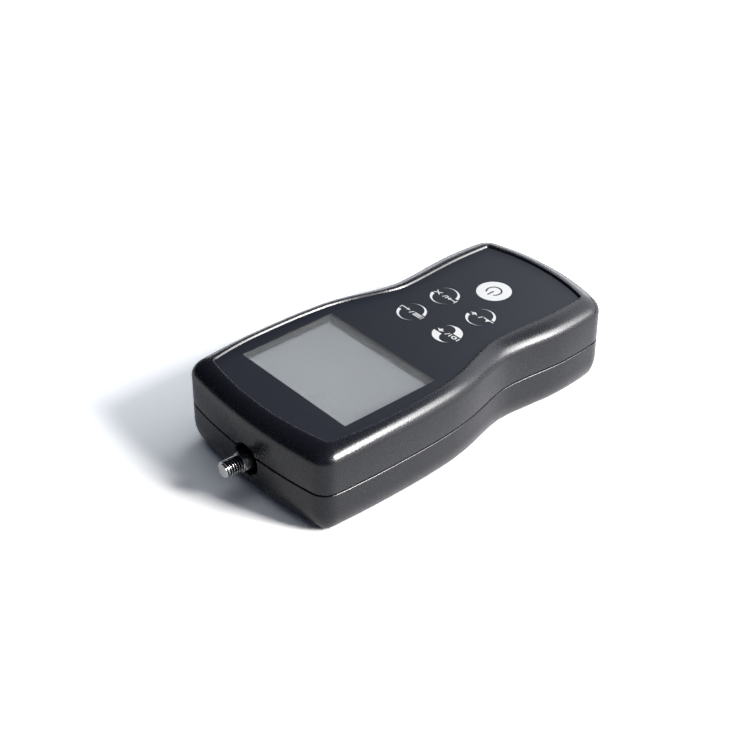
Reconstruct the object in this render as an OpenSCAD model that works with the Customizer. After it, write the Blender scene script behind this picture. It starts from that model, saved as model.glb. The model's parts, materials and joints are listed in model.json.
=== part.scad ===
// Hand-held digital force gauge with a threaded measuring stud.
// Millimetres. The origin is the middle of the flat back, +Z comes out of the
// display, and +Y runs along the measuring axis towards the stud.

/* [Body] */
// Length of the case between the middles of its two ends
body_l = 145.2; // [135:0.1:165]
// Width of the case where it is widest, beside the display
body_w = 76.4; // [70:0.1:85]
// Width of the case at its waist
waist_w = 61.2; // [54:0.1:66]
// Width of the case beside the power key
grip_w = 65.1; // [58:0.1:72]
// Width of the case at the stud end
nose_w = 73.5; // [66:0.1:80]
// Width of the case at the far end
tail_w = 59.8; // [56:0.1:68]
// Height of the case from its back to its rim
body_h = 33.5; // [31:0.1:40]
// Height of the joint between the two shells
seam_z = 17; // [15:0.1:18]
// Radius of the bow of the stud end
nose_bow = 190; // [120:1:400]
// Radius of the bow of the far end
tail_bow = 90; // [70:1:300]
// Rounding of the corners of the case
corner = 5.6; // [4:0.1:9]
// Height of the rounded edge round the front
top_round = 5.2; // [3:0.1:5.5]
// Height of the rounded edge round the back
back_round_h = 9.8; // [4:0.1:10]
// Width of the rounded edge round the back
back_round_w = 6; // [3:0.1:7]
// Thickness of the side walls
wall = 2.5; // [2:0.1:3]
// Thickness of the floor of the rear shell
floor_t = 2.5; // [2:0.1:3]
// Thickness of the front under the overlay
front_t = 2; // [1.6:0.1:2.4]
// Width and depth of the groove along the joint
seam_groove = 0.5; // [0.3:0.05:0.8]
// Height of the lip that registers the shells
lip_h = 1.5; // [1:0.1:2]

/* [Outline] */
// Distance from the stud end to the widest place
wide_at = 32.6; // [28:0.1:38]
// Distance from the stud end to the shoulder
shoulder_at = 59.6; // [55:0.1:63]
// Distance from the stud end to the steepest place of the neck
neck_at = 75.2; // [72:0.1:78]
// Distance from the far end to the waist
waist_at = 51.6; // [48:0.1:55]
// Distance from the far end to the widest place of the grip
grip_at = 25.6; // [20:0.1:30]

/* [Front panel] */
// Band of case left beside the panel at the display
side_band = 5.3; // [4:0.1:6]
// Band of case left beside the panel at the waist
waist_band = 7.45; // [5:0.05:8]
// Band of case left beside the panel at the power key
grip_band = 8.15; // [6:0.05:9]
// Band of case left beyond the panel at both ends
end_band = 7.1; // [6:0.1:9]
// Rounding of the corners of the panel
panel_corner = 0.9; // [0.5:0.1:2]
// Depth of the overlay below the rim
rim_h = 0.66; // [0.3:0.02:1]
// Thickness of the overlay
film_t = 0.4; // [0.25:0.05:0.5]

/* [Display] */
// Width of the display window
window_w = 55; // [45:0.1:58]
// Height of the display window
window_h = 40; // [32:0.1:44]
// Distance from the end of the panel to the window
window_top = 13.4; // [12:0.1:16]
// Thickness of the flange of the window pane
pane_t = 0.6; // [0.5:0.05:0.8]
// Depth of the liquid crystal cell below the overlay
cell_depth = 3.5; // [3.2:0.05:4]
// Thickness of the liquid crystal cell
cell_t = 2.74; // [2:0.02:3]
// Border of the liquid crystal cell round the window
cell_border = 2.2; // [1.8:0.1:2.6]

/* [Keys] */
// Diameter of the four function keys
key_d = 12; // [10:0.1:13]
// Diameter of the power key
power_d = 13; // [11:0.1:14]
// Distance between the two columns of keys
key_pitch_x = 18.68; // [16:0.02:21]
// Distance between the rows of function keys
key_pitch_y = 16.15; // [15:0.05:18]
// Distance from the window to the first row of keys
key_first = 22.1; // [20:0.1:24]
// Distance from the second row to the power key
power_drop = 15.7; // [15:0.1:18]
// Travel of a key
key_travel = 0.3; // [0.2:0.05:0.4]
// Diameter of the stem under a key
stem_d = 4; // [3.5:0.1:5]

/* [Measuring axis] */
// Height of the measuring axis above the back
axis_z = 13.7; // [13:0.1:15]
// Diameter of the threaded stud
stud_d = 6; // [4:0.1:6.5]
// Pitch of the stud's thread
stud_pitch = 1; // [0.7:0.05:1.25]
// Length of the stud beyond the coupler
stud_out = 7.1; // [5:0.1:12]
// Distance that the coupler stands out of the case
coupler_out = 2.6; // [1:0.1:6]
// Distance across the flats of the coupler
coupler_af = 7; // [6.8:0.1:9]
// Turn of the coupler's corners up from the width of the case
coupler_turn = 12; // [-30:1:30]
// Diameter of the hole in the case round the coupler
axis_hole_d = 12; // [10.5:0.1:13]
// Width of the load cell
sensor_w = 36; // [32:0.1:38]
// Length of the load cell
sensor_l = 42; // [40:0.1:46]
// Thickness of the load cell
sensor_t = 11; // [10:0.1:12]
// Distance from the end of the case to the load cell
sensor_back = 22.6; // [20:0.1:26]

/* [Inside] */
// Thickness of the chassis plate
chassis_t = 2; // [1.8:0.1:2.2]
// Width of the chassis plate
chassis_w = 48; // [46:0.1:50]
// Thickness of the circuit board
board_t = 1.6; // [1:0.1:2]
// Width of the battery
battery_w = 34; // [30:0.1:35]
// Thickness of the battery
battery_t = 10; // [8:0.1:11]
// Spacing of the mounting threads across the back
mount_x = 32; // [30:0.1:33]
// Spacing of the mounting threads along the back
mount_y = 44; // [42:0.1:45]
// Diameter of the mounting threads at their crests
mount_d = 4.2; // [3.3:0.1:5]

/* [Hidden] */
$fn = 96;

// Clearances
slip = 0.05;          // round pieces that slide or screw into each other
seat_gap = 0.1;       // flat pieces laid into a pocket
film_gap = 0.15;      // edge of the overlay to the rim
key_gap = 0.06;       // edge of a key to the overlay
key_room = 0.3;       // room left below a pressed key, and round it
sensor_lift = 1.2;    // load cell above the chassis plate
sensor_clear = 1.7;   // load cell below the circuit board
head_clear = 0.3;     // heads of the chassis screws below the load cell
board_clear = 0.7;    // circuit board to the posts of the case
end_room = 0.3;       // end of a screw to the bottom of its hole
lap = 0.1;            // overlap of the two parts of one turned or moulded piece
eps = 0.5;            // overlap of a boss with the wall that carries it

// Outline of the case and of the panel
half_l = body_l / 2;
wide_y = half_l - wide_at;
shoulder_y = half_l - shoulder_at;
neck_y = half_l - neck_at;
waist_y = waist_at - half_l;
grip_y = grip_at - half_l;
shoulder_share = 0.12;   // share of the narrowing that is done at the shoulder
neck_steep = 0.035;      // slope of the neck for each millimetre of narrowing
panel_l = body_l - 2 * end_band;
panel_nose_bow = 129;
panel_tail_bow = 80;
panel_nose_in = 1.65;    // extra band beside the panel at the stud end
panel_tail_out = 1.75;   // band saved beside the panel at the far end
nose_steps = 12;
corner_steps = 7;
side_steps = 34;
round_steps = 6;
round_fullness = 1.06;   // below 1 the rounded front edge is fuller than a quarter ellipse
least_corner = 0.8;
groove_share = 0.6;      // share of the groove that is cut into the front shell
lip_shift = 0.25;        // lip joint moved out from the middle of the wall
lip_land = (seam_groove + wall) / 2 - lip_shift;

// Heights, from the back to the front
film_top = body_h - rim_h;
film_z = film_top - film_t;
ceiling_z = film_z - front_t;
crease_z = body_h - top_round;
sensor_z = axis_z - sensor_t / 2;
chassis_z = sensor_z - sensor_lift - chassis_t;
chassis_top = chassis_z + chassis_t;
board_z = axis_z + sensor_t / 2 + sensor_clear;
board_top = board_z + board_t;
cell_top = film_top - cell_depth;
cell_z = cell_top - cell_t;
pane_z = film_z - pane_t;

// Display
window_y1 = panel_l / 2 - window_top;
window_y0 = window_y1 - window_h;
window_y = (window_y0 + window_y1) / 2;
opening_margin = 1.2;
cell_w = window_w + 2 * cell_border;
cell_h = window_h + 2 * cell_border;
cell_y0 = window_y - cell_h / 2;
ribbon_w = 20;
ribbon_t = 0.2;
ribbon_out = 2.4;
ribbon_drop = 0.8;

// Keys: centre and diameter of each
row_1 = window_y0 - key_first;
row_2 = row_1 - key_pitch_y;
menu_at = [key_pitch_x / 2, row_1];
zero_at = [-key_pitch_x / 2, row_1];
send_at = [key_pitch_x / 2, row_2];
peak_at = [-key_pitch_x / 2, row_2];
power_at = [0, row_2 - power_drop];
keys = [
    [menu_at, key_d], [zero_at, key_d], [send_at, key_d], [peak_at, key_d], [power_at, power_d]
];
switch_w = 6;
switch_h = 3.5;
plunger_d = 3.4;
plunger_out = 0.9;
plunger_in = 1.4;
plunger_well = plunger_in + key_travel + key_room;
plunger_top = board_top + switch_h + plunger_out;

// Screws that hold the shells together
nose_post_edge = 9.75;
nose_post_in = 13.1;
tail_post_edge = 7.4;
tail_post_in = 12.1;
shell_post_d = 9;
front_post_d = 7;
shell_screw_d = 3;
shell_head_d = 5.5;
shell_head_h = 2.4;
shell_head_z = 1.6;
shell_hole_d = 6.4;
shell_screw_in = 10;
nose_post = [nose_w / 2 - nose_post_edge, half_l - nose_post_in];
tail_post = [tail_w / 2 - tail_post_edge, tail_post_in - half_l];
shell_posts = [for (side = [-1, 1], at = [nose_post, tail_post]) [side * at[0], at[1]]];

// Circuit board and what it carries
board_side_gap = 1.9;
board_grip_gap = 6.1;
board_end_gap = 6.6;
board_nose_gap = 9.6;
board_side = (body_w + waist_w) / 4 - wall - board_side_gap;
board_grip = waist_w / 2 - wall - board_grip_gap;
board_tail = board_end_gap - half_l;
board_step = 9.9;      // display cell to the narrow part of the board
board_nose = nose_post[1] - front_post_d / 2 - board_clear;
board_waist = cell_y0 - board_step;
board_hip = tail_post[1] + front_post_d / 2 + board_clear;
board_nose_ear = nose_post[0] - front_post_d / 2 - board_clear;
board_tail_ear = tail_post[0] - front_post_d / 2 - board_clear;
board_ear_y = half_l - board_nose_gap;
board_post_d = 5.6;
board_post_edge = 4.4;
board_post_in = 3.5;
board_screw_d = 2;
board_head_d = 4;
board_head_h = 1.6;
board_screw_in = 4.5;
board_posts = [
    for (side = [-1, 1])
        each [
            [side * (board_nose_ear - board_post_edge), board_ear_y - board_post_in],
            [side * (board_side - board_post_edge), board_waist + board_post_in],
            [side * (board_grip - board_post_edge), board_hip + board_post_in]
        ]
];
ribbon_socket = [22, 3, 1.8];
plug_size = [6, 8, 3];
processor_size = [10, 10, 1.4];
converter_size = [5, 6.5, 1.2];
driver_size = [6, 5, 1.5];
amplifier_size = [5, 8, 1.5];
chip_gap = 3;
amplifier_gap = 2.5;
buzzer_d = 12;
buzzer_h = 6;
socket_w = 9;
socket_h = 3.5;
socket_l = 9;
socket_wall = 0.45;
socket_back = 0.6;
socket_tongue = 0.8;
socket_end = 1;

// Chassis, load cell and mounting threads
sensor_y1 = half_l - sensor_back;
sensor_y0 = sensor_y1 - sensor_l;
sensor_y = (sensor_y0 + sensor_y1) / 2;
chassis_tail = 12;
chassis_nose = 5;
chassis_y0 = sensor_y0 - chassis_tail;
chassis_y1 = sensor_y1 + chassis_nose;
chassis_post_d = 6;
chassis_post_in = 4;
chassis_screw_d = 3;
chassis_head_d = 5;
chassis_head_h = sensor_lift - head_clear;
chassis_posts = [
    for (side = [-1, 1], y = [sensor_y0 + chassis_post_in, sensor_y1 - 3 * chassis_post_in])
        [side * (chassis_w - chassis_post_d) / 2, y]
];
mount_shift = 1.5;      // threads moved towards the far end from the middle of the plate
mount_mid_y = (chassis_y0 + chassis_y1) / 2 - mount_shift;
mount_at = [for (x = [-1, 1], y = [-1, 1]) [x * mount_x / 2, mount_mid_y + y * mount_y / 2]];
bush_d = 9;
bush_flange_d = 11;
bush_flange_t = 1;
bush_z = 0.3;
foot_l = 9;
foot_w = 28;
foot_screw_d = 3;
foot_head_d = 5.6;
foot_head_h = 1.65;
foot_screw_l = 10;
foot_pitch = 18;
foot_at = [for (side = [-1, 1]) [side * foot_pitch / 2, sensor_y0 + foot_l / 2]];
bar_t = 9;
slit = 2.5;
slit_reach = 28;
bean_r = 6;
bean_span = 10;
gauge_size = [0.15, 6, 4];
gauge_rise = 6;
stud_in = 8;
thread_d = stud_d - 0.65 * stud_pitch;   // diameter at which engaged threads meet
coupler_y1 = half_l + coupler_out;
stud_y1 = coupler_y1 + stud_out;
stud_chamfer = 0.7;
coupler_chamfer = 0.5;

// Battery and leads
battery_end_gap = 11.6;
battery_gap = 9;
battery_y0 = battery_end_gap - half_l;
battery_y1 = chassis_y0 - battery_gap;
pad_t = 1;
pad_border = 1;
battery_z = floor_t + pad_t;
pack_round = 3;
lead_d = 1.6;
lead_bend = 3;
sensor_plug_out = 5.5;
battery_plug_x = 8;
sensor_plug_at = [sensor_w / 2 + sensor_plug_out, sensor_y];
battery_plug_out = 2;
battery_plug_at = [battery_plug_x, battery_y1 + lead_bend + battery_plug_out];
buzzer_at = [-12, chassis_y0];

// Value at y on the smooth curve between two stations [y, value, slope]
function between(a, b, y) =
    let (span = b[0] - a[0], t = (y - a[0]) / span)
    (2 * t^3 - 3 * t^2 + 1) * a[1] + (t^3 - 2 * t^2 + t) * span * a[2]
    + (3 * t^2 - 2 * t^3) * b[1] + (t^3 - t^2) * span * b[2];

// Half width at y of a side that runs through the stations
function half_width(stations, y) =
    let (k = max([0, for (i = [0 : len(stations) - 2]) if (y <= stations[i][0]) i]))
    between(stations[k], stations[k + 1], y);

// Stations of a side from its half widths, from the stud end to the far end
function side_stations(end_y, nose, wide, waist, grip, tail) =
    let (neck = (wide + waist) / 2)
    [
        [end_y, nose, 2 * (nose - wide) / (end_y - wide_y)],
        [wide_y, wide, 0],
        [shoulder_y, wide - shoulder_share * (wide - waist), (wide - neck) / (wide_y - neck_y)],
        [neck_y, neck, neck_steep * (wide - waist)],
        [waist_y, waist, 0],
        [grip_y, grip, 0],
        [-end_y, tail, 2 * (tail - grip) / (-end_y - grip_y)]
    ];

// Drop of a bowed end at a distance from its middle
function bow(radius, x) = radius - sqrt(radius^2 - x^2);

// Point on a rounded corner between two points
function round_off(a, corner_point, b, t) =
    (1 - t)^2 * a + 2 * t * (1 - t) * corner_point + t^2 * b;

// Closed outline, moved inwards by inset: right half from the stud end, then the left half
function outline(stations, end_y, nose_r, tail_r, corner_r, inset) =
    let (
        end = end_y - inset,
        cut = max(corner_r - inset, least_corner),
        nose_x = half_width(stations, end - bow(nose_r, stations[0][1])) - inset,
        nose_y = end - bow(nose_r, nose_x),
        tail_x = half_width(stations, bow(tail_r, stations[6][1]) - end) - inset,
        tail_y = bow(tail_r, tail_x) - end,
        nose_in = nose_x - cut,
        tail_in = tail_x - cut,
        side_top = nose_y - cut,
        side_end = tail_y + cut,
        nose_a = [nose_in, end - bow(nose_r, nose_in)],
        nose_b = [half_width(stations, side_top) - inset, side_top],
        tail_a = [half_width(stations, side_end) - inset, side_end],
        tail_b = [tail_in, bow(tail_r, tail_in) - end],
        right = [
            for (i = [0 : nose_steps]) let (x = nose_in * i / nose_steps) [x, end - bow(nose_r, x)],
            for (i = [1 : corner_steps]) round_off(nose_a, [nose_x, nose_y], nose_b, i / corner_steps),
            for (i = [1 : side_steps])
                let (y = side_top + (side_end - side_top) * i / side_steps)
                [half_width(stations, y) - inset, y],
            for (i = [1 : corner_steps]) round_off(tail_a, [tail_x, tail_y], tail_b, i / corner_steps),
            for (i = [1 : nose_steps])
                let (x = tail_in * (1 - i / nose_steps)) [x, bow(tail_r, x) - end]
        ]
    )
    concat(right, [for (i = [len(right) - 2 : -1 : 1]) [-right[i][0], right[i][1]]]);

body_stations = side_stations(
    half_l, nose_w / 2, body_w / 2, waist_w / 2, grip_w / 2, tail_w / 2
);
panel_stations = side_stations(
    panel_l / 2, nose_w / 2 - side_band - panel_nose_in, body_w / 2 - side_band,
    waist_w / 2 - waist_band, grip_w / 2 - grip_band, tail_w / 2 - grip_band + panel_tail_out
);
function body_outline(inset) =
    outline(body_stations, half_l, nose_bow, tail_bow, corner, inset);
function panel_outline(inset) =
    outline(panel_stations, panel_l / 2, panel_nose_bow, panel_tail_bow, panel_corner, inset);

// Rings of points at a height
function lift(points, z) = [for (p = points) [p[0], p[1], z]];
function body_ring(inset, z) = lift(body_outline(inset), z);

// Closed solid through a stack of rings, with the first end facing down and the last up
module skin(rings) {
    count = len(rings[0]);
    last = len(rings) - 1;
    polyhedron(
        points = [for (ring = rings) each ring],
        faces = [
            [for (i = [count - 1 : -1 : 0]) i],
            for (k = [0 : last - 1], i = [0 : count - 1])
                let (j = (i + 1) % count)
                each [
                    [k * count + i, k * count + j, (k + 1) * count + j],
                    [k * count + i, (k + 1) * count + j, (k + 1) * count + i]
                ],
            [for (i = [0 : count - 1]) last * count + i]
        ],
        convexity = 10
    );
}

// Upright cylinder between two heights
module post(at, d, z0, z1) {
    translate([at[0], at[1], z0])
        cylinder(d = d, h = z1 - z0);
}

// Box centred on a point in plan, between two heights
module block(at, size, z0, z1) {
    translate([at[0] - size[0] / 2, at[1] - size[1] / 2, z0])
        cube([size[0], size[1], z1 - z0]);
}

// Cylinder along the measuring axis between two lengths
module along_axis(d, y0, y1) {
    translate([0, y0, axis_z])
        rotate([-90, 0, 0])
            cylinder(d = d, h = y1 - y0);
}

module axis_hole() {
    along_axis(axis_hole_d, half_l - 3 * wall, half_l + wall);
}

// Front half of the case, with the recess for the overlay
module front_shell() {
    inner_round = 3.9;
    inner_step = 2.7;
    lip_top = seam_z + lip_h + seat_gap;
    groove_top = seam_z + groove_share * seam_groove;
    body_edge = body_outline(0);
    panel_edge = panel_outline(0);
    color("#3a3c40")
        difference() {
            union() {
                skin([
                    body_ring(wall + inner_step, ceiling_z),
                    body_ring(wall, ceiling_z - inner_round),
                    body_ring(wall, lip_top),
                    body_ring(lip_land, lip_top),
                    body_ring(lip_land, seam_z),
                    body_ring(seam_groove, seam_z),
                    body_ring(seam_groove, groove_top),
                    body_ring(0, groove_top),
                    for (i = [0 : round_steps])
                        let (
                            out = cos(90 * i / round_steps)^round_fullness,
                            rise = sin(90 * i / round_steps)^round_fullness
                        )
                        lift(panel_edge + (body_edge - panel_edge) * out, crease_z + top_round * rise),
                    lift(panel_edge, film_z)
                ]);
                for (at = shell_posts)
                    post(at, front_post_d, seam_z, ceiling_z + eps);
                for (at = board_posts)
                    post(at, board_post_d, board_top, ceiling_z + eps);
            }
            block(
                [0, window_y], [window_w, window_h] + 2 * opening_margin * [1, 1],
                ceiling_z - eps, film_top
            );
            for (key = keys) {
                post(key[0], stem_d + 2 * slip, ceiling_z - eps, film_top);
                post(key[0], key[1] + 2 * key_room, film_z - key_travel - key_room, film_top);
            }
            for (at = shell_posts)
                post(at, shell_screw_d + 2 * slip, seam_z - eps, seam_z + shell_screw_in + eps);
            for (at = board_posts)
                post(at, board_screw_d + 2 * slip, board_top - eps, board_top + board_screw_in + eps);
            axis_hole();
            translate([-socket_w / 2 - 2 * seat_gap, -half_l - wall, board_top - 2 * seat_gap])
                cube([socket_w + 4 * seat_gap, 3 * wall, socket_h + 4 * seat_gap]);
        }
}

// Rear half of the case, with its lip, posts and screw wells
module rear_shell() {
    inner_round = 6.5;
    inner_step = 4.5;
    groove_end = seam_z - (1 - groove_share) * seam_groove;
    lip_line = lip_land + seat_gap;
    color("#37393d")
        difference() {
            union() {
                skin([
                    for (i = [0 : round_steps])
                        let (a = 90 * i / round_steps)
                        body_ring(back_round_w * (1 - sin(a)), back_round_h * (1 - cos(a))),
                    body_ring(0, groove_end),
                    body_ring(seam_groove, groove_end),
                    body_ring(seam_groove, seam_z),
                    body_ring(lip_line, seam_z),
                    body_ring(lip_line, seam_z + lip_h),
                    body_ring(wall, seam_z + lip_h),
                    body_ring(wall, floor_t + inner_round),
                    body_ring(wall + inner_step, floor_t)
                ]);
                for (at = shell_posts)
                    post(at, shell_post_d, floor_t - eps, seam_z);
                for (at = chassis_posts)
                    post(at, chassis_post_d, floor_t - eps, chassis_z);
            }
            for (at = shell_posts) {
                post(at, shell_screw_d + 4 * slip, -eps, seam_z + eps);
                post(at, shell_hole_d, -eps, shell_head_z + shell_head_h);
            }
            for (at = chassis_posts)
                post(at, chassis_screw_d + 2 * slip, floor_t / 2, chassis_z + eps);
            for (at = mount_at)
                post(at, bush_d + 2 * seat_gap, -eps, floor_t + eps);
            axis_hole();
        }
}

// Four screws from the back into the posts of the front shell
module housing_screws() {
    drive_d = 3;
    drive_depth = 1.2;
    color("#1d1e20")
        for (at = shell_posts)
            difference() {
                union() {
                    post(at, shell_head_d, shell_head_z, shell_head_z + shell_head_h);
                    post(at, shell_screw_d, shell_head_z + shell_head_h, seam_z + shell_screw_in);
                }
                translate([at[0], at[1], shell_head_z - eps])
                    cylinder(d = drive_d, h = drive_depth + eps, $fn = 6);
            }
}

// Printed sheet in the recess of the front, cut out for the window and the keys
module overlay_film() {
    color("#3b404b")
        difference() {
            translate([0, 0, film_z])
                linear_extrude(film_t)
                    polygon(panel_outline(film_gap));
            block([0, window_y], [window_w, window_h], film_z - eps, film_top + eps);
            for (key = keys)
                post(key[0], key[1] + 2 * key_gap, film_z - eps, film_top + eps);
        }
}

// Clear pane: its face fills the overlay's opening and its flange lies under the overlay
module display_window() {
    margin = opening_margin - seat_gap;
    color("#cfd6da", 0.3)
        union() {
            block([0, window_y], [window_w, window_h] + 2 * margin * [1, 1], pane_z, film_z);
            block([0, window_y], [window_w, window_h] - seat_gap * [1, 1], film_z - lap, film_top);
        }
}

// Frame that lines the well between the pane and the liquid crystal cell
module display_gasket() {
    margin = opening_margin - seat_gap;
    color("#7e8283")
        difference() {
            union() {
                block([0, window_y], [window_w, window_h] + 2 * margin * [1, 1], cell_top, pane_z);
                block([0, window_y], [cell_w, cell_h], cell_top, ceiling_z);
            }
            block([0, window_y], [window_w, window_h], cell_top - eps, pane_z + eps);
        }
}

module lcd_glass() {
    color("#a3a9aa")
        block([0, window_y], [cell_w, cell_h], cell_z, cell_top);
}

// Light box that carries the cell on the board
module lcd_backlight() {
    color("#e8e8e4")
        block([0, window_y], [cell_w, cell_h], board_top, cell_z);
}

// Flat cable from the edge of the cell to its socket on the board
module lcd_ribbon() {
    top = cell_top - ribbon_drop;
    end = board_top + ribbon_socket[2] / 2;
    fall = cell_y0 - ribbon_out;
    color("#c98d3a")
        translate([ribbon_w / 2, 0, 0])
            rotate([90, 0, -90])
                linear_extrude(ribbon_w)
                    polygon([
                        [-cell_y0, top], [-cell_y0, top - ribbon_t],
                        [-fall - ribbon_t, top - ribbon_t], [-fall - ribbon_t, end],
                        [-fall + ribbon_out, end], [-fall + ribbon_out, end + ribbon_t],
                        [-fall, end + ribbon_t], [-fall, top]
                    ]);
}

module main_board() {
    color("#1f6b3f")
        difference() {
            translate([0, 0, board_z])
                linear_extrude(board_t)
                    union() {
                        translate([-board_side, board_waist])
                            square([2 * board_side, board_nose - board_waist]);
                        translate([-board_grip, board_hip])
                            square([2 * board_grip, board_waist - board_hip + eps]);
                        translate([-board_nose_ear, board_nose - eps])
                            square([2 * board_nose_ear, board_ear_y - board_nose + eps]);
                        translate([-board_tail_ear, board_tail])
                            square([2 * board_tail_ear, board_hip - board_tail + eps]);
                    }
            for (at = board_posts)
                post(at, board_screw_d + 4 * slip, board_z - eps, board_top + eps);
        }
}

// Six screws that hold the board to the posts of the front shell
module board_screws() {
    color("#b9bcc0")
        for (at = board_posts)
            union() {
                post(at, board_head_d, board_z - board_head_h, board_z);
                post(at, board_screw_d, board_z - lap, board_top + board_screw_in);
            }
}

// Processor, converter and drivers under the board
module board_chips() {
    chips = [
        [[-(processor_size[0] + chip_gap) / 2, row_2], processor_size],
        [[(converter_size[0] + chip_gap) / 2, row_2], converter_size],
        [[0, power_at[1]], driver_size],
        [[-(sensor_w + amplifier_size[0]) / 2 - amplifier_gap, sensor_y], amplifier_size]
    ];
    color("#202225")
        for (chip = chips)
            block(chip[0], chip[1], board_z - chip[1][2], board_z);
}

// Sockets for the ribbon and for the two leads
module board_connectors() {
    color("#ece7d8") {
        block(
            [0, cell_y0 - 2 * ribbon_out - ribbon_socket[1] / 2], ribbon_socket,
            board_top, board_top + ribbon_socket[2]
        );
        for (at = [sensor_plug_at, battery_plug_at])
            block(at, plug_size, board_z - plug_size[2], board_z);
    }
}

module buzzer() {
    port_d = 2.2;
    port_depth = 2;
    color("#26272a")
        difference() {
            post(buzzer_at, buzzer_d, board_z - buzzer_h, board_z);
            post(buzzer_at, port_d, board_z - buzzer_h - eps, board_z - buzzer_h + port_depth);
        }
}

// Five push switches on the board, one under each key
module switch_bases() {
    color("#2b2c2f")
        for (key = keys)
            difference() {
                block(key[0], [switch_w, switch_w], board_top, board_top + switch_h);
                post(
                    key[0], plunger_d + 2 * slip,
                    board_top + switch_h - plunger_well, board_top + switch_h + eps
                );
            }
}

// Key: a disc level with the overlay on a stem that reaches its switch
module key_cap(key) {
    union() {
        post(key[0], key[1], film_z, film_top);
        post(key[0], stem_d, plunger_top, film_z + film_t / 2);
    }
}

module plunger(key) {
    post(key[0], plunger_d, board_top + switch_h - plunger_in, plunger_top);
}

module menu_key() { color("#3b404b") key_cap(keys[0]); }
module zero_key() { color("#3b404b") key_cap(keys[1]); }
module send_key() { color("#3b404b") key_cap(keys[2]); }
module peak_key() { color("#3b404b") key_cap(keys[3]); }
module power_key() { color("#f4f4f2") key_cap(keys[4]); }
module menu_plunger() { color("#55585c") plunger(keys[0]); }
module zero_plunger() { color("#55585c") plunger(keys[1]); }
module send_plunger() { color("#55585c") plunger(keys[2]); }
module peak_plunger() { color("#55585c") plunger(keys[3]); }
module power_plunger() { color("#55585c") plunger(keys[4]); }

// Data and charging socket at the far end
module usb_socket() {
    mouth = socket_back - half_l;
    color("#c3c6c9")
        union() {
            difference() {
                block([0, mouth + socket_l / 2], [socket_w, socket_l], board_top, board_top + socket_h);
                translate([-socket_w / 2 + socket_wall, mouth - eps, board_top + socket_wall])
                    cube([
                        socket_w - 2 * socket_wall,
                        socket_l - socket_end + eps,
                        socket_h - 2 * socket_wall
                    ]);
            }
            block(
                [0, mouth + socket_l / 2], [socket_w - 4 * socket_wall, socket_l - socket_end],
                board_top + (socket_h - socket_tongue) / 2, board_top + (socket_h + socket_tongue) / 2
            );
        }
}

// Flat cell in its sleeve
module battery_pack() {
    y0 = battery_y0;
    y1 = battery_y1;
    side = battery_w / 2 - pack_round;
    color("#2f6fb0")
        union() {
            block([0, (y0 + y1) / 2], [2 * side, y1 - y0], battery_z, battery_z + battery_t);
            block(
                [0, (y0 + y1) / 2], [battery_w, y1 - y0],
                battery_z + pack_round, battery_z + battery_t - pack_round
            );
            for (x = [-side, side], z = [battery_z + pack_round, battery_z + battery_t - pack_round])
                translate([x, y0, z])
                    rotate([-90, 0, 0])
                        cylinder(r = pack_round, h = y1 - y0);
        }
}

// Adhesive pad between the battery and the floor
module battery_pad() {
    margin = pack_round + pad_border;
    color("#6d6f72")
        block(
            [0, (battery_y0 + battery_y1) / 2],
            [battery_w - 2 * margin, battery_y1 - battery_y0 - 2 * margin], floor_t, battery_z
        );
}

// Lead that runs level from a start, bends and climbs to a socket under the board
module lead(start, run, rise) {
    translate(start) {
        rotate([0, 90, 0])
            cylinder(d = lead_d, h = run - lead_bend);
        translate([run - lead_bend, 0, lead_bend])
            rotate([90, 0, 0])
                rotate([0, 0, -90])
                    rotate_extrude(angle = 90)
                        translate([lead_bend, 0])
                            circle(d = lead_d);
        translate([run, 0, lead_bend])
            cylinder(d = lead_d, h = rise - lead_bend);
    }
}

module battery_lead() {
    start_z = battery_z + battery_t / 2;
    color("#b02a25")
        translate([battery_plug_at[0], battery_y1, start_z])
            rotate([0, 0, 90])
                lead([0, 0, 0], battery_plug_at[1] - battery_y1, board_z - plug_size[2] - start_z);
}

module sensor_lead() {
    start_x = sensor_w / 2 + gauge_size[0];
    color("#d8d8d2")
        lead(
            [start_x, sensor_plug_at[1], axis_z], sensor_plug_at[0] - start_x,
            board_z - plug_size[2] - axis_z
        );
}

// Plate that carries the load cell, with the seat of its fixed end
module chassis_plate() {
    color("#9fa3a8")
        difference() {
            union() {
                block(
                    [0, (chassis_y0 + chassis_y1) / 2], [chassis_w, chassis_y1 - chassis_y0],
                    chassis_z, chassis_top
                );
                block([0, sensor_y0 + foot_l / 2], [foot_w, foot_l], chassis_top - lap, sensor_z);
            }
            for (at = chassis_posts)
                post(at, chassis_screw_d + 4 * slip, chassis_z - eps, chassis_top + eps);
            for (at = mount_at)
                post(at, bush_d + 2 * slip, chassis_z - eps, chassis_top + eps);
            for (at = foot_at) {
                post(at, foot_screw_d + 4 * slip, chassis_z - eps, sensor_z + eps);
                translate([at[0], at[1], chassis_z])
                    cylinder(d1 = foot_head_d + 4 * slip, d2 = foot_screw_d + 4 * slip, h = foot_head_h);
            }
        }
}

module chassis_screws() {
    color("#b9bcc0")
        for (at = chassis_posts)
            union() {
                post(at, chassis_head_d, chassis_top, chassis_top + chassis_head_h);
                post(at, chassis_screw_d, floor_t / 2 + end_room, chassis_top + lap);
            }
}

// Threaded bushes in the chassis that reach the back of the case
module mount_bushes() {
    color("#c9a24a")
        for (at = mount_at)
            difference() {
                union() {
                    post(at, bush_d, bush_z, chassis_top);
                    post(at, bush_flange_d, chassis_z - bush_flange_t, chassis_z);
                }
                post(at, mount_d, bush_z - eps, chassis_top + eps);
            }
}

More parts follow.
